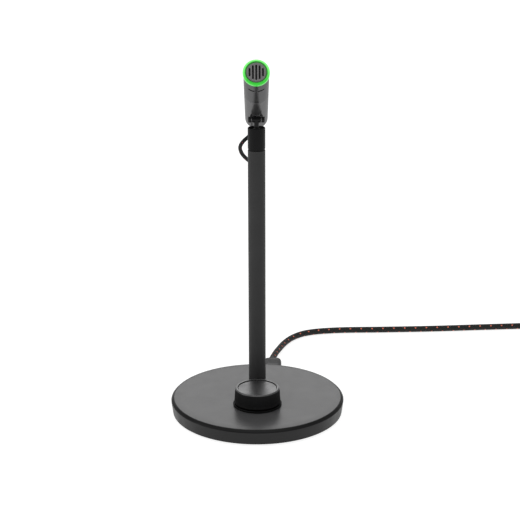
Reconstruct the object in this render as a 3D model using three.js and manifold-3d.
// A desktop microphone: a weighted round base with a push-and-turn knob, an upright tube, and a slim
// tilting head with a light ring. Millimetres, +Z up. The origin is the centre of the base's underside,
// and the user sits on the -Y side.

import * as THREE from 'three';
import { mergeVertices } from 'three/addons/utils/BufferGeometryUtils.js';
import Module from 'manifold-3d';

const wasm = await Module();
wasm.setup();

// ---------------------------------------------------------------------------------------------
// Driving dimensions
// ---------------------------------------------------------------------------------------------

// Pieces that touch on the real object keep this clearance here.
const GAP = 0.3;

const BASE = {
  radius: 55.5,
  height: 10.4,
  crownRadius: 48.5,
  crownDrop: 0.3,
  topRadius: 54.07,
  edgeDrop: 1.4,
  lowerRadius: 54.4,
  skirtLift: 0.6,
  innerRadius: 52.1,
  topWall: 2,
};
const PAD = { radius: 47, thickness: 1.2 };
const PLATE = { bottom: 0.8, top: 2.6, recess: 0.7 };
const BALLAST = { radius: 49.5, top: 4.7 };
const BOARD = { halfWidth: 16.5, front: -24, rear: 46, top: 6 };
const BASE_SCREW = { circle: 42, shankRadius: 1.25, headRadius: 2.8, headHeight: 0.8, top: 7.4 };

const ENCODER = { y: -15, width: 11, floor: 0.5, bottom: 7.1, top: 12.4, wall: 1.2, bore: 3.3 };
const ROTOR = { radius: 4.3, bottom: 8.4, top: 9.6 };
const SHAFT = { radius: 3, pinRadius: 1.3, bottom: 8.2, shoulder: 10.4, top: 19.2 };
const BEZEL = { radius: 15.4, top: 11.8, spigotRadius: 8.9, bore: 8.1 };
const KNOB = {
  bottom: 12.6,
  top: 22.1,
  lowerRadius: 14.8,
  upperRadius: 14.1,
  rimRadius: 13.5,
  bevel: 0.7,
  cavityRadius: 12.6,
  cavityTop: 18.3,
  hubRadius: 5,
  recessRadius: 12.4,
  recess: 1.2,
};

const STEM = { y: 16, radius: 5.5, bore: 4.5, bottom: 2.9, top: 168.6 };
const COLLAR = { radius: 6.9, height: 2 };
const CAP = { top: 182.9, spigotBottom: 162.3, mouthRadius: 4.7, floor: 179.3, floorRadius: 4.2 };
const CABLE_ENTRY = { z: 156.3, holeRadius: 2.4 };

const HINGE = { z: 187.8, radius: 1.85, halfWidth: 5.15, ear: 2.05, pinRadius: 0.8 };
const BRACKET = { webHalfWidth: 3.9, front: -0.5, rear: -3.6, slotRear: -2.2 };
const POST = { pinRadius: 1.65, pinBottom: 159.4, collarRadius: 3.6, collarBottom: 180.3 };
const SWIVEL_NUT = { radius: 3.3, bottom: 159.8, top: 162 };

// The head's own frame: z runs along its axis to the front face, y up, and 0 is above the hinge.
const HEAD = {
  pitch: 30,
  axisOffset: 9.7,
  front: 60.8,
  ringRear: 58,
  seam: 24.8,
  rear: -27.3,
  frontRadius: 7.6,
  seamRadius: 7.45,
  rearRadius: 7.2,
  rearRounding: 1.2,
  bore: 6.3,
  spigotLength: 8,
};
const RING = { radius: 7.95, rounding: 0.85, guideRear: 51.2, guideBore: 5.45 };
const SOUND_SLOT = { rear: 47, front: 48.8, nearX: 1, farX: 4.7 };
const GRILLE = { radius: 6, front: 60.5, thickness: 1.4, slotWidth: 1.1, slotPitch: 1.95, reach: 4.7 };
const CAPSULE = { radius: 4.5, front: 57.9, rear: 53.1 };

const PIGTAIL_RADIUS = 1.25;

const CABLE_RADIUS = 2.15;
const PLUG = { x: 10.4, z: 5.4, width: 12.35, height: 6.5, front: 55.4, rear: 70 };
const PORT = { width: 9.6, height: 3.5, wall: 0.3, front: 53.4, rear: 45, back: 1.2 };
const RELIEF = { rear: 74.6, frontRadius: 2.95, rearRadius: 2.5 };
const COIL = { x: 231.5, y: 117, bottom: 0.65, turnsAcross: 4, layers: 2, meanRadius: 24.5 };
const TIE = { width: 9, thickness: 0.9, underside: 0.3, angle: 205 };
const USB_A = { y: 72.5, relief: 250, bodyEnd: 240, bodyWidth: 15.7, bodyHeight: 8, shellEnd: 218 };

// ---------------------------------------------------------------------------------------------
// Materials
// ---------------------------------------------------------------------------------------------

const finish = (color, roughness, metalness) =>
  new THREE.MeshStandardMaterial({ color, roughness, metalness });

const GRAPHITE_PAINT = finish(0x6a6a6c, 0.55, 0.3);
const STEM_PAINT = finish(0x3a3a3b, 0.5, 0.3);
const BLACK_PLASTIC = finish(0x161617, 0.45, 0);
const GLOSS_BLACK = finish(0x101011, 0.15, 0.2);
const SATIN_DISC = finish(0x4c4c4e, 0.35, 0.6);
const BODY_METAL = finish(0x77777a, 0.35, 0.7);
const COLLAR_METAL = finish(0x606063, 0.35, 0.7);
const GRILLE_PAINT = finish(0x6e6e70, 0.45, 0.4);
const LIGHT_GREEN = finish(0x30c832, 0.4, 0);
const RUBBER = finish(0x1b1b1b, 0.85, 0);
const STEEL = finish(0x9a9a9c, 0.35, 0.9);
const BRASS = finish(0xb08a45, 0.4, 0.9);
const BOARD_GREEN = finish(0x1d4a2c, 0.5, 0);
const OVERMOULD = finish(0x66666a, 0.5, 0);
const BRAID = finish(0x1c1a1b, 0.8, 0);

// ---------------------------------------------------------------------------------------------
// Geometry helpers
// ---------------------------------------------------------------------------------------------

// Turns an outline of [radius, z] points about the Z axis.
function lathe(outline, segments) {
  const points = outline.map(([r, z]) => new THREE.Vector2(r, z));
  return new THREE.LatheGeometry(points, segments).rotateX(Math.PI / 2);
}

function disc(radius, z0, z1, segments) {
  return lathe([[0, z0], [radius, z0], [radius, z1], [0, z1]], segments);
}

function ring(outer, inner, z0, z1, segments) {
  return lathe([[inner, z0], [outer, z0], [outer, z1], [inner, z1], [inner, z0]], segments);
}

function box(x0, x1, y0, y1, z0, z1) {
  const geometry = new THREE.BoxGeometry(x1 - x0, y1 - y0, z1 - z0);
  return geometry.translate((x0 + x1) / 2, (y0 + y1) / 2, (z0 + z1) / 2);
}

// A round rod along X, centred on x = 0.
function rodX(radius, halfLength, segments) {
  return new THREE.CylinderGeometry(radius, radius, 2 * halfLength, segments).rotateZ(Math.PI / 2);
}

// A rod along Y from y0 to y1, whose radius may change on the way.
function rodY(radius0, radius1, y0, y1, segments) {
  const geometry = new THREE.CylinderGeometry(radius1, radius0, y1 - y0, segments);
  return geometry.translate(0, (y0 + y1) / 2, 0);
}

// Points of an arc in an outline, from one angle to another in degrees.
function arc(r, z, radius, from, to, steps) {
  return Array.from({ length: steps + 1 }, (_, i) => {
    const angle = THREE.MathUtils.degToRad(from + ((to - from) * i) / steps);
    return [r + radius * Math.cos(angle), z + radius * Math.sin(angle)];
  });
}

// A flat outline with round ends, extruded along +Y from y0 to y1, with its edges bevelled.
function pillY(width, height, y0, y1, bevel = 0) {
  const shape = new THREE.Shape();
  const end = height / 2 - bevel;
  const reach = width / 2 - height / 2;
  shape.absarc(reach, 0, end, -Math.PI / 2, Math.PI / 2);
  shape.absarc(-reach, 0, end, Math.PI / 2, (3 * Math.PI) / 2);
  const geometry = new THREE.ExtrudeGeometry(shape, {
    depth: y1 - y0 - 2 * bevel,
    curveSegments: 4,
    bevelEnabled: bevel > 0,
    bevelThickness: bevel,
    bevelSize: bevel,
    bevelSegments: 2,
  });
  return geometry.rotateX(-Math.PI / 2).translate(0, y0 + bevel, 0);
}

// A round tube along a smooth line through the given points.
function tube(points, radius, sides, steps) {
  const section = new THREE.Shape();
  section.absarc(0, 0, radius, 0, 2 * Math.PI);
  const path = new THREE.CatmullRomCurve3(points, false, 'centripetal');
  return new THREE.ExtrudeGeometry(section, {
    steps,
    curveSegments: sides / 2,
    bevelEnabled: false,
    extrudePath: path,
  });
}

function toSolid(geometry) {
  const bare = geometry.clone();
  bare.deleteAttribute('normal');
  bare.deleteAttribute('uv');
  const merged = mergeVertices(bare, 1e-4);
  const index = merged.index.array;
  const triangles = [];
  for (let i = 0; i < index.length; i += 3) {
    const [a, b, c] = [index[i], index[i + 1], index[i + 2]];
    if (a !== b && b !== c && c !== a) triangles.push(a, b, c);
  }
  return new wasm.Manifold(new wasm.Mesh({
    numProp: 3,
    vertProperties: new Float32Array(merged.attributes.position.array),
    triVerts: new Uint32Array(triangles),
  }));
}

function toGeometry(solid) {
  const { vertProperties, triVerts } = solid.getMesh();
  const geometry = new THREE.BufferGeometry();
  geometry.setAttribute('position', new THREE.BufferAttribute(vertProperties, 3));
  geometry.setIndex(new THREE.BufferAttribute(triVerts, 1));
  geometry.computeVertexNormals();
  return geometry;
}

function combine(operation, first, others) {
  const solid = others.reduce((left, right) => left[operation](toSolid(right)), toSolid(first));
  return toGeometry(solid);
}

const cut = (body, ...tools) => combine('subtract', body, tools);
const join = (body, ...others) => combine('add', body, others);
const common = (body, ...others) => combine('intersect', body, others);

function mesh(name, geometry, material) {
  const piece = new THREE.Mesh(geometry, material);
  piece.name = name;
  return piece;
}

function group(...pieces) {
  const result = new THREE.Group();
  result.add(...pieces);
  return result;
}

// ---------------------------------------------------------------------------------------------
// Base
// ---------------------------------------------------------------------------------------------

const SIDES_BASE = 60;
const COVER_UNDERSIDE = BASE.height - BASE.topWall;
const BOSS_BOTTOM = BALLAST.top + GAP;
const NUT_CLEARANCE = 10.5;

const screwPlaces = [45, 135, 225, 315].map((degrees) => {
  const angle = THREE.MathUtils.degToRad(degrees);
  return [BASE_SCREW.circle * Math.cos(angle), BASE_SCREW.circle * Math.sin(angle)];
});

// A disc at each of the four screws.
const atScrews = (radius, z0, z1) =>
  screwPlaces.map(([x, y]) => disc(radius, z0, z1, 12).translate(x, y, 0));

function portBox(margin) {
  const halfWidth = PORT.width / 2 + margin;
  const halfHeight = PORT.height / 2 + margin;
  return [PLUG.x - halfWidth, PLUG.x + halfWidth, PLUG.z - halfHeight, PLUG.z + halfHeight];
}

function baseCover() {
  const rim = BASE.height - BASE.crownDrop;
  const shoulder = rim - BASE.edgeDrop;
  const shell = lathe([
    [BASE.innerRadius, BASE.skirtLift],
    [BASE.lowerRadius - 0.3, BASE.skirtLift],
    [BASE.lowerRadius, BASE.skirtLift + 0.3],
    [BASE.radius - 0.1, shoulder - 0.5],
    [BASE.radius, shoulder],
    [BASE.radius - 0.35, shoulder + 0.75],
    [BASE.topRadius + 0.35, rim - 0.25],
    [BASE.topRadius - 0.4, rim],
    [BASE.topRadius - 2.6, rim + 0.2],
    [BASE.crownRadius, BASE.height],
    [0, BASE.height],
    [0, COVER_UNDERSIDE],
    [BASE.innerRadius, COVER_UNDERSIDE],
    [BASE.innerRadius, BASE.skirtLift],
  ], SIDES_BASE);
  const [x0, x1, z0, z1] = portBox(GAP);
  const bossed = join(shell, ...atScrews(3, BOSS_BOTTOM, COVER_UNDERSIDE + 0.5));
  return cut(
    bossed,
    disc(BEZEL.spigotRadius + GAP, 0, 20, 32).translate(0, ENCODER.y, 0),
    disc(STEM.radius + GAP, 0, 20, 32).translate(0, STEM.y, 0),
    box(x0, x1, 40, 60, z0, z1),
    ...atScrews(BASE_SCREW.shankRadius + GAP, 0, BASE_SCREW.top + GAP),
  );
}

function basePlate() {
  const plate = lathe([
    [0, PLATE.bottom + PLATE.recess],
    [PAD.radius + GAP, PLATE.bottom + PLATE.recess],
    [PAD.radius + GAP, PLATE.bottom],
    [BASE.innerRadius - GAP, PLATE.bottom],
    [BASE.innerRadius - GAP, PLATE.top],
    [0, PLATE.top],
  ], SIDES_BASE);
  return cut(
    plate,
    ...atScrews(BASE_SCREW.shankRadius + GAP, 0, 5),
    ...atScrews(BASE_SCREW.headRadius + GAP, 0, PLATE.top - 0.4),
  );
}

function ballastDisc() {
  const [x0, x1] = portBox(1);
  return cut(
    disc(BALLAST.radius, PLATE.top + GAP, BALLAST.top, SIDES_BASE),
    disc(NUT_CLEARANCE, 0, 9, 24).translate(0, STEM.y, 0),
    box(x0, x1, PORT.rear - 3, 60, 0, 9),
    ...atScrews(BASE_SCREW.shankRadius + GAP, 0, 9),
  );
}

function mainBoard() {
  const [x0, x1] = portBox(GAP);
  const bottom = BALLAST.top + GAP;
  return cut(
    box(-BOARD.halfWidth, BOARD.halfWidth, BOARD.front, BOARD.rear, bottom, BOARD.top),
    disc(NUT_CLEARANCE, 0, 9, 24).translate(0, STEM.y, 0),
    box(x0, x1, PORT.rear - GAP, 60, 0, 9),
  );
}

function usbPort() {
  const outer = pillY(PORT.width, PORT.height, PORT.rear, PORT.front);
  const width = PORT.width - 2 * PORT.wall;
  const height = PORT.height - 2 * PORT.wall;
  const inner = pillY(width, height, PORT.rear + PORT.back, PORT.front + 1);
  return cut(outer, inner).translate(PLUG.x, 0, PLUG.z);
}

function baseScrew([x, y]) {
  const { headRadius, headHeight, shankRadius, top } = BASE_SCREW;
  const headBottom = PLATE.bottom + PLATE.recess - 0.1;
  const body = lathe([
    [0, headBottom],
    [headRadius - 0.3, headBottom],
    [headRadius, headBottom + 0.3],
    [headRadius, headBottom + headHeight - 0.3],
    [shankRadius, headBottom + headHeight - 0.3],
    [shankRadius, top],
    [0, top],
  ], 12);
  const slot = box(-headRadius, headRadius, -0.35, 0.35, 0, headBottom + 0.3);
  return cut(body, slot).translate(x, y, 0);
}

function makeBase() {
  return group(
    mesh('base_cover', baseCover(), GRAPHITE_PAINT),
    mesh('base_plate', basePlate(), BLACK_PLASTIC),
    mesh('foot_pad', disc(PAD.radius, 0, PAD.thickness, SIDES_BASE), RUBBER),
    mesh('ballast_disc', ballastDisc(), STEEL),
    mesh('main_board', mainBoard(), BOARD_GREEN),
    mesh('usb_port', usbPort(), STEEL),
    ...screwPlaces.map((place, i) => mesh(`base_screw_${i + 1}`, baseScrew(place), STEEL)),
  );
}

// ---------------------------------------------------------------------------------------------
// Knob and its encoder
// ---------------------------------------------------------------------------------------------

const SIDES_KNOB = 40;

function encoderBody() {
  const half = ENCODER.width / 2;
  const cavity = disc(ROTOR.radius + GAP, ENCODER.bottom + ENCODER.floor, ENCODER.top - ENCODER.wall, 24);
  return cut(
    box(-half, half, -half, half, ENCODER.bottom, ENCODER.top),
    cavity,
    disc(ENCODER.bore, ROTOR.top, ENCODER.top + 1, 24),
  );
}

function encoderShaft() {
  return lathe([
    [0, SHAFT.bottom],
    [SHAFT.pinRadius, SHAFT.bottom],
    [SHAFT.pinRadius, SHAFT.shoulder],
    [SHAFT.radius, SHAFT.shoulder],
    [SHAFT.radius, SHAFT.top],
    [0, SHAFT.top],
  ], 20);
}

function knobBezel() {
  const bottom = BASE.height + GAP;
  return lathe([
    [BEZEL.bore, COVER_UNDERSIDE + 0.5],
    [BEZEL.spigotRadius, COVER_UNDERSIDE + 0.5],
    [BEZEL.spigotRadius, bottom],
    [BEZEL.radius - 0.6, bottom],
    ...arc(BEZEL.radius - 0.7, (bottom + BEZEL.top) / 2, 0.7, -60, 60, 4),
    [BEZEL.radius - 1, BEZEL.top],
    [BEZEL.bore, BEZEL.top],
    [BEZEL.bore, COVER_UNDERSIDE + 0.5],
  ], SIDES_KNOB);
}

function knobBody() {
  const recessFloor = KNOB.top - KNOB.recess;
  const bore = SHAFT.radius + GAP;
  return lathe([
    [KNOB.cavityRadius, KNOB.bottom],
    [KNOB.lowerRadius - 0.2, KNOB.bottom],
    [KNOB.lowerRadius, KNOB.bottom + 0.3],
    [KNOB.lowerRadius - 0.3, KNOB.bottom + 1.4],
    [KNOB.upperRadius, KNOB.top - KNOB.bevel],
    [KNOB.rimRadius, KNOB.top],
    [KNOB.recessRadius, KNOB.top],
    [KNOB.recessRadius, recessFloor],
    [0, recessFloor],
    [0, SHAFT.top + GAP],
    [bore, SHAFT.top + GAP],
    [bore, KNOB.bottom + 0.5],
    [KNOB.hubRadius, KNOB.bottom + 0.5],
    [KNOB.hubRadius, KNOB.cavityTop],
    [KNOB.cavityRadius, KNOB.cavityTop],
    [KNOB.cavityRadius, KNOB.bottom],
  ], SIDES_KNOB);
}

function knobDisc() {
  const radius = KNOB.recessRadius - GAP;
  const floor = KNOB.top - KNOB.recess + GAP;
  return lathe([
    [0, floor],
    [radius, floor],
    [radius, KNOB.top - 0.5],
    [radius * 0.8, KNOB.top - 0.33],
    [radius * 0.4, KNOB.top - 0.23],
    [0, KNOB.top - 0.2],
  ], SIDES_KNOB);
}

function makeKnob() {
  const rotor = ring(ROTOR.radius, SHAFT.pinRadius + GAP, ROTOR.bottom, ROTOR.top, 24);
  const knob = group(
    mesh('knob_bezel', knobBezel(), GLOSS_BLACK),
    mesh('encoder_body', encoderBody(), STEEL),
    mesh('encoder_rotor', rotor, BRASS),
    mesh('encoder_shaft', encoderShaft(), STEEL),
    mesh('knob_body', knobBody(), BLACK_PLASTIC),
    mesh('knob_disc', knobDisc(), SATIN_DISC),
  );
  knob.position.y = ENCODER.y;
  return knob;
}

// ---------------------------------------------------------------------------------------------
// Stem
// ---------------------------------------------------------------------------------------------

const SIDES_STEM = 24;

function stemTube() {
  const hole = rodY(CABLE_ENTRY.holeRadius, CABLE_ENTRY.holeRadius, 0, 9, 16);
  return cut(
    ring(STEM.radius, STEM.bore, STEM.bottom, STEM.top, SIDES_STEM),
    hole.translate(0, 0, CABLE_ENTRY.z),
  );
}

function stemCap() {
  const bottom = STEM.top + GAP;
  const bore = POST.pinRadius + GAP;
  const spigot = STEM.bore - GAP;
  return lathe([
    [bore, CAP.spigotBottom],
    [spigot, CAP.spigotBottom],
    [spigot, bottom],
    [STEM.radius - 0.25, bottom],
    [STEM.radius - 0.25, bottom + 0.8],
    [STEM.radius, bottom + 0.8],
    [STEM.radius, CAP.top - 0.35],
    [STEM.radius - 0.3, CAP.top],
    [CAP.mouthRadius, CAP.top],
    [CAP.floorRadius, CAP.floor + 1.5],
    [CAP.floorRadius, CAP.floor],
    [bore, CAP.floor],
    [bore, CAP.spigotBottom],
  ], SIDES_STEM);
}

// The rubber sleeve that the pigtail enters the tube through, along Y.
function stemGrommet() {
  const inside = STEM.bore - 0.6;
  const outside = STEM.radius + 0.35;
  const body = rodY(2.1, 2.1, inside, outside + 0.5, 20);
  const flange = rodY(2.9, 2.6, outside, outside + 0.9, 20);
  const bore = rodY(PIGTAIL_RADIUS + GAP, PIGTAIL_RADIUS + GAP, 0, 9, 16);
  return cut(join(body, flange), bore).translate(0, 0, CABLE_ENTRY.z);
}

function hexNut() {
  const nut = new THREE.CylinderGeometry(9.6, 9.6, 3, 6).rotateX(Math.PI / 2);
  const bottom = PLATE.top + GAP;
  return cut(nut.translate(0, 0, bottom + 1.5), disc(STEM.radius + GAP, 0, 9, SIDES_STEM));
}

// The wire that runs down inside the tube from the pigtail to the board.
function stemWire() {
  const points = [
    [0, 1.9, CABLE_ENTRY.z],
    [0, 1.1, CABLE_ENTRY.z - 0.1],
    [0, 0.2, CABLE_ENTRY.z - 1.6],
    [0, 0, CABLE_ENTRY.z - 5],
    [0, 0, CABLE_ENTRY.z - 30],
    [0, 0, 80],
    [0, 0, PLATE.top + 1],
  ];
  return tube(points.map((p) => new THREE.Vector3(...p)), 1, 8, 24);
}

function makeStem() {
  const washerBottom = PLATE.top + 2 * GAP + 3;
  const washer = ring(8.6, STEM.radius + GAP, washerBottom, COVER_UNDERSIDE - GAP, 24);
  const collar = lathe([
    [STEM.radius + GAP, BASE.height + GAP],
    [COLLAR.radius, BASE.height + GAP],
    [COLLAR.radius, BASE.height + COLLAR.height - 0.5],
    [COLLAR.radius - 0.5, BASE.height + COLLAR.height],
    [STEM.radius + GAP, BASE.height + COLLAR.height],
    [STEM.radius + GAP, BASE.height + GAP],
  ], SIDES_STEM);
  const stem = group(
    mesh('stem_tube', stemTube(), STEM_PAINT),
    mesh('stem_collar', collar, BLACK_PLASTIC),
    mesh('stem_washer', washer, STEEL),
    mesh('stem_nut', hexNut(), STEEL),
    mesh('stem_cap', stemCap(), BLACK_PLASTIC),
    mesh('stem_grommet', stemGrommet(), RUBBER),
    mesh('stem_wire', stemWire(), BRAID),
  );
  stem.position.y = STEM.y;
  return stem;
}

// ---------------------------------------------------------------------------------------------
// Swivel post: it turns in the stem cap, and the head tilts on its knuckle
// ---------------------------------------------------------------------------------------------

function swivelPost() {
  const neck = 1.65;
  const collarTop = POST.collarBottom + 1.1;
  const post = lathe([
    [0, POST.pinBottom],
    [POST.pinRadius, POST.pinBottom],
    [POST.pinRadius, POST.collarBottom],
    [POST.collarRadius, POST.collarBottom],
    [POST.collarRadius, collarTop],
    [neck + 0.9, collarTop + 0.35],
    [neck + 0.25, collarTop + 1],
    [neck, collarTop + 1.9],
    [neck, HINGE.z - 2.9],
    [neck + 0.3, HINGE.z - 1.8],
    [neck + 0.15, HINGE.z],
    [0, HINGE.z],
  ], 24);
  const knuckle = rodX(HINGE.radius, HINGE.halfWidth - HINGE.ear - GAP, 24).translate(0, 0, HINGE.z);
  const bore = rodX(HINGE.pinRadius + GAP, 9, 12).translate(0, 0, HINGE.z);
  return cut(join(post, knuckle), bore);
}

function makeSwivel() {
  const washer = ring(3.5, POST.pinRadius + GAP, CAP.floor + GAP, POST.collarBottom - GAP, 24);
  const nut = ring(SWIVEL_NUT.radius, POST.pinRadius + GAP, SWIVEL_NUT.bottom, SWIVEL_NUT.top, 12);
  const swivel = group(
    mesh('swivel_post', swivelPost(), GLOSS_BLACK),
    mesh('friction_washer', washer, STEEL),
    mesh('swivel_nut', nut, STEEL),
  );
  swivel.position.y = STEM.y;
  return swivel;
}

// ---------------------------------------------------------------------------------------------
// Head, in its own frame
// ---------------------------------------------------------------------------------------------

const SIDES_HEAD = 32;

function hingeBracket() {
  const inner = HEAD.seamRadius + 0.2;
  const outer = inner + 0.7;
  const half = HINGE.halfWidth;
  const earInside = half - HINGE.ear;
  const { webHalfWidth, front, rear, slotRear } = BRACKET;
  const strap = common(
    disc(outer, rear, front, SIDES_HEAD),
    box(-webHalfWidth, webHalfWidth, -9, -5, -4, 4),
  );
  const lobe = rodX(HINGE.radius, half, 24).translate(0, -HEAD.axisOffset, 0);
  const web = box(-webHalfWidth, webHalfWidth, -HEAD.axisOffset, -5, -HINGE.radius, front);
  const between = box(-earInside, earInside, -12, 0, slotRear, 9);
  const bore = rodX(HINGE.pinRadius + GAP, 9, 12).translate(0, -HEAD.axisOffset, 0);
  return cut(join(strap, web, lobe), disc(inner, -9, 9, SIDES_HEAD), between, bore);
}

function headBody() {
  const { rear, rearRounding, rearRadius, seamRadius, seam, bore } = HEAD;
  const hole = PIGTAIL_RADIUS + 1.15;
  return lathe([
    [hole, rear],
    ...arc(rearRadius - rearRounding, rear + rearRounding, rearRounding, -90, 0, 4),
    [seamRadius, seam - GAP],
    [bore, seam - GAP],
    [bore, rear + 1.5],
    [hole, rear + 1.5],
    [hole, rear],
  ], SIDES_HEAD);
}

// The collar has two narrow sound slots in its underside, behind the ring.
function headCollar() {
  const { seam, seamRadius, frontRadius, bore, ringRear, spigotLength } = HEAD;
  const spigot = bore - GAP;
  const { nearX, farX, rear, front } = SOUND_SLOT;
  const slots = [box(nearX, farX, -9, -3, rear, front), box(-farX, -nearX, -9, -3, rear, front)];
  const collar = lathe([
    [spigot - 0.6, seam - spigotLength],
    [spigot, seam - spigotLength],
    [spigot, seam],
    [seamRadius, seam],
    [frontRadius, ringRear - GAP - 0.3],
    [frontRadius - 0.3, ringRear - GAP],
    [bore, ringRear - GAP],
    [bore, seam + 1],
    [spigot - 0.6, seam + 1],
    [spigot - 0.6, seam - spigotLength],
  ], SIDES_HEAD);
  return cut(collar, ...slots);
}

// The lit ring with the thin light guide behind it, which reaches back to the LED board.
function lightRing() {
  const inner = GRILLE.radius + GAP;
  const guide = HEAD.bore - GAP;
  const { radius, rounding, guideRear, guideBore } = RING;
  return lathe([
    [guideBore, guideRear],
    [guide, guideRear],
    [guide, HEAD.ringRear],
    [radius - 0.3, HEAD.ringRear],
    [radius, HEAD.ringRear + 0.3],
    ...arc(radius - rounding, HEAD.front - rounding, rounding, 0, 90, 4),
    [inner + 0.2, HEAD.front],
    [inner, HEAD.front - 0.2],
    [inner, HEAD.ringRear + 0.3],
    [guideBore, HEAD.ringRear + 0.3],
    [guideBore, guideRear],
  ], SIDES_HEAD);
}

// Upright sound slots whose lengths follow the round edge.
function grilleDisc() {
  const rear = GRILLE.front - GRILLE.thickness;
  const places = [-2, -1, 0, 1, 2].map((step) => step * GRILLE.slotPitch);
  const slots = places.map((x) => {
    const reach = Math.sqrt(GRILLE.reach ** 2 - x ** 2);
    const end = GRILLE.slotWidth / 2;
    const shape = new THREE.Shape();
    shape.absarc(x, reach - end, end, 0, Math.PI);
    shape.absarc(x, end - reach, end, Math.PI, 2 * Math.PI);
    const options = { depth: 4, curveSegments: 4, bevelEnabled: false };
    return new THREE.ExtrudeGeometry(shape, options).translate(0, 0, rear - 1);
  });
  const face = lathe([
    [0, rear],
    [GRILLE.radius, rear],
    [GRILLE.radius, GRILLE.front - 0.25],
    [GRILLE.radius - 0.25, GRILLE.front],
    [0, GRILLE.front],
  ], SIDES_HEAD);
  return cut(face, ...slots);
}

function capsuleBoot() {
  const outer = RING.guideBore - GAP;
  const inner = CAPSULE.radius + GAP;
  const rear = RING.guideRear + 0.2;
  return lathe([
    [1, rear],
    [outer, rear],
    [outer, CAPSULE.front - 0.3],
    [inner, CAPSULE.front - 0.3],
    [inner, CAPSULE.rear - GAP],
    [1, CAPSULE.rear - GAP],
    [1, rear],
  ], 24);
}

function headGrommet() {
  const bore = PIGTAIL_RADIUS + GAP;
  const sleeve = PIGTAIL_RADIUS + 0.85;
  return lathe([
    [bore, HEAD.rear - 4.2],
    [bore + 0.35, HEAD.rear - 4.2],
    [bore + 1.1, HEAD.rear - 0.9],
    [bore + 1.1, HEAD.rear - GAP],
    [sleeve, HEAD.rear - GAP],
    [sleeve, HEAD.rear + 2.3],
    [bore, HEAD.rear + 2.3],
    [bore, HEAD.rear - 4.2],
  ], 20);
}

function makeHead() {
  const grilleRear = GRILLE.front - GRILLE.thickness;
  const pin = rodX(HINGE.pinRadius, HINGE.halfWidth, 12).translate(0, -HEAD.axisOffset, 0);
  const ledBoard = ring(HEAD.bore - GAP, 1.2, RING.guideRear - 1.2, RING.guideRear - GAP, 24);
  const head = group(
    mesh('hinge_bracket', hingeBracket(), BLACK_PLASTIC),
    mesh('hinge_pin', pin, STEEL),
    mesh('head_body', headBody(), BODY_METAL),
    mesh('head_collar', headCollar(), COLLAR_METAL),
    mesh('light_ring', lightRing(), LIGHT_GREEN),
    mesh('grille_disc', grilleDisc(), GRILLE_PAINT),
    mesh('grille_mesh', disc(GRILLE.radius, grilleRear - 0.5, grilleRear - 0.2, 24), STEEL),
    mesh('mic_capsule', disc(CAPSULE.radius, CAPSULE.rear, CAPSULE.front, 24), STEEL),
    mesh('capsule_boot', capsuleBoot(), RUBBER),
    mesh('led_board', ledBoard, BOARD_GREEN),
    mesh('head_board', box(-5, 5, -0.6, 0.6, -8, RING.guideRear - 2), BOARD_GREEN),
    mesh('head_grommet', headGrommet(), RUBBER),
  );
  const pitch = THREE.MathUtils.degToRad(HEAD.pitch);
  const lift = new THREE.Vector2(Math.sin(pitch), Math.cos(pitch)).multiplyScalar(HEAD.axisOffset);
  head.position.set(0, STEM.y + lift.x, HINGE.z + lift.y);
  head.rotation.x = Math.PI / 2 - pitch;
  return head;
}

// ---------------------------------------------------------------------------------------------
// Pigtail: the braided lead from the head's rear to the tube, in two pieces that meet at its bulge
// ---------------------------------------------------------------------------------------------

const PIGTAIL_UPPER = [
  [0, 37.4, 186.7],
  [0, 43, 183.46],
  [-0.1, 48.4, 179.9],
  [-1.5, 51.6, 174.4],
  [-4.9, 52.2, 168.9],
  [-8.2, 50.2, 166.3],
  [-9.7, 48, 164.9],
  [-10.15, 46.9, 164.35],
];
const PIGTAIL_LOWER = [
  [-10.25, 46.5, 164.17],
  [-10.5, 45.2, 163.65],
  [-10.5, 43, 162.9],
  [-9.4, 37.6, 161.1],
  [-7.1, 32.6, 159.5],
  [-4.3, 28.6, 158.1],
  [-1.5, 25.4, 156.9],
  [-0.3, 23.5, 156.4],
  [0, 22, 156.3],
  [0, 20.4, 156.3],
  [0, 18.3, 156.3],
];

function makePigtail() {
  const along = (points) => tube(points.map((p) => new THREE.Vector3(...p)), PIGTAIL_RADIUS, 8, 16);
  return group(
    mesh('pigtail_upper', along(PIGTAIL_UPPER), BRAID),
    mesh('pigtail_lower', along(PIGTAIL_LOWER), BRAID),
  );
}

// ---------------------------------------------------------------------------------------------
// USB cable
// ---------------------------------------------------------------------------------------------

const RUN = [
  [10.4, RELIEF.rear + GAP, PLUG.z],
  [10.8, 77.6, 5.3],
  [11.7, 82, 5],
  [13.2, 89.9, 4.3],
  [15.7, 100.2, 3.3],
  [18.4, 110.1, 2.5],
  [21.8, 118.6, CABLE_RADIUS],
  [25.4, 124.6, CABLE_RADIUS],
  [32.2, 131.8, CABLE_RADIUS],
  [40.7, 136.2, CABLE_RADIUS],
  [58.3, 139.6, CABLE_RADIUS],
  [93.6, 140.8, CABLE_RADIUS],
  [129.1, 142.3, CABLE_RADIUS],
  [164.9, 145.1, CABLE_RADIUS],
  [190.3, 147, CABLE_RADIUS],
  [211.2, 148, CABLE_RADIUS + 0.2],
];
const TAIL = [
  [262.5, 99.4, 5.6],
  [262.2, 94, 4.8],
  [261.2, 86.5, 4.1],
  [259.2, 79.6, 4],
  [256.4, 75, 4],
  [253.6, USB_A.y + 0.3, 4],
  [252, USB_A.y, 4],
  [USB_A.relief + GAP, USB_A.y, 4],
];

const COIL_OUTER = COIL.meanRadius + COIL.turnsAcross * CABLE_RADIUS;
const COIL_INNER = COIL.meanRadius - COIL.turnsAcross * CABLE_RADIUS;
const COIL_TOP = COIL.bottom + COIL.layers * 2 * CABLE_RADIUS - 0.1;

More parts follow.
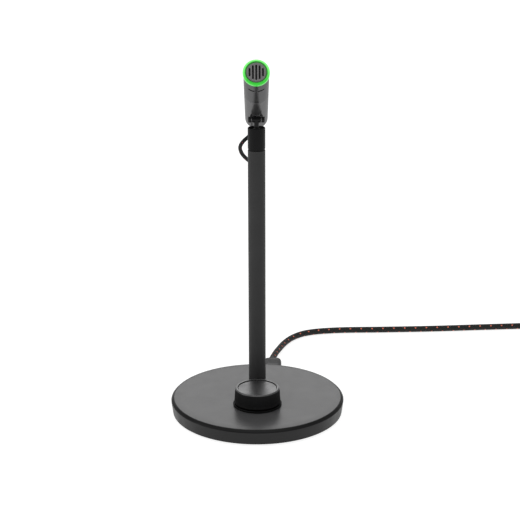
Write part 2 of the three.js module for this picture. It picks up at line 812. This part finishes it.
function cableCoil() {
  const round = 1.4;
  const section = [
    ...arc(COIL_OUTER - round, COIL.bottom + round, round, -90, 0, 2),
    ...arc(COIL_OUTER - round, COIL_TOP - round, round, 0, 90, 2),
    ...arc(COIL_INNER + round, COIL_TOP - round, round, 90, 180, 2),
    ...arc(COIL_INNER + round, COIL.bottom + round, round, 180, 270, 2),
  ];
  return lathe([...section, section[0]], 40).translate(COIL.x, COIL.y, 0);
}

// A strap round the coil's turns, made across the turns and then set at its place on the coil.
function coilTie() {
  const half = TIE.width / 2;
  const near = Math.sqrt(COIL_INNER ** 2 - half ** 2) - GAP;
  const far = COIL_OUTER + GAP;
  const lower = COIL.bottom - GAP;
  const upper = COIL_TOP + GAP;
  const strap = cut(
    box(near - TIE.thickness, far + TIE.thickness, -half, half,
      lower - TIE.underside, upper + TIE.thickness),
    box(near, far, -half - 1, half + 1, lower, upper),
  );
  return strap.rotateZ(THREE.MathUtils.degToRad(TIE.angle)).translate(COIL.x, COIL.y, 0);
}

function plugShell() {
  const solid = pillY(8.3, 2.5, PORT.rear + PORT.back + 1, PLUG.front - GAP);
  const mouth = pillY(7.3, 1.5, PORT.rear, PLUG.front - 4);
  return cut(solid, mouth).translate(PLUG.x, 0, PLUG.z);
}

function plugRelief() {
  const relief = rodY(RELIEF.frontRadius, RELIEF.rearRadius, PLUG.rear + GAP, RELIEF.rear, 20);
  return relief.translate(PLUG.x, 0, PLUG.z);
}

// The computer's end: a relief, a moulded grip and a plain metal shell, lying along X.
function makeFarPlug() {
  const { y, relief, bodyEnd, bodyWidth, bodyHeight, shellEnd } = USB_A;
  const z = bodyHeight / 2;
  const reliefRod = rodY(3, 2.6, -relief + bodyEnd + GAP, 0, 16).rotateZ(-Math.PI / 2);
  const grip = pillY(bodyWidth, bodyHeight, 0, bodyEnd - shellEnd, 0.8).rotateZ(Math.PI / 2);
  const shell = cut(
    box(shellEnd - 12, shellEnd - GAP, -6, 6, -2.25, 2.25),
    box(shellEnd - 13, shellEnd - 3, -5.6, 5.6, -1.85, 1.85),
  );
  return group(
    mesh('usb_a_relief', reliefRod.translate(relief, y, z), OVERMOULD),
    mesh('usb_a_body', grip.translate(bodyEnd, y, z), OVERMOULD),
    mesh('usb_a_shell', shell.translate(0, y, z), STEEL),
  );
}

function makeCable() {
  const along = (points, steps) =>
    tube(points.map((p) => new THREE.Vector3(...p)), CABLE_RADIUS, 10, steps);
  const plug = pillY(PLUG.width, PLUG.height, PLUG.front, PLUG.rear, 0.9);
  return group(
    mesh('usb_plug_body', plug.translate(PLUG.x, 0, PLUG.z), OVERMOULD),
    mesh('usb_plug_shell', plugShell(), STEEL),
    mesh('plug_strain_relief', plugRelief(), OVERMOULD),
    mesh('cable_run', along(RUN, 32), BRAID),
    mesh('cable_coil', cableCoil(), BRAID),
    mesh('cable_tail', along(TAIL, 8), BRAID),
    mesh('coil_tie', coilTie(), RUBBER),
    makeFarPlug(),
  );
}

// ---------------------------------------------------------------------------------------------

const microphone = group(
  makeBase(),
  makeKnob(),
  makeStem(),
  makeSwivel(),
  makeHead(),
  makePigtail(),
  makeCable(),
);

export default microphone;
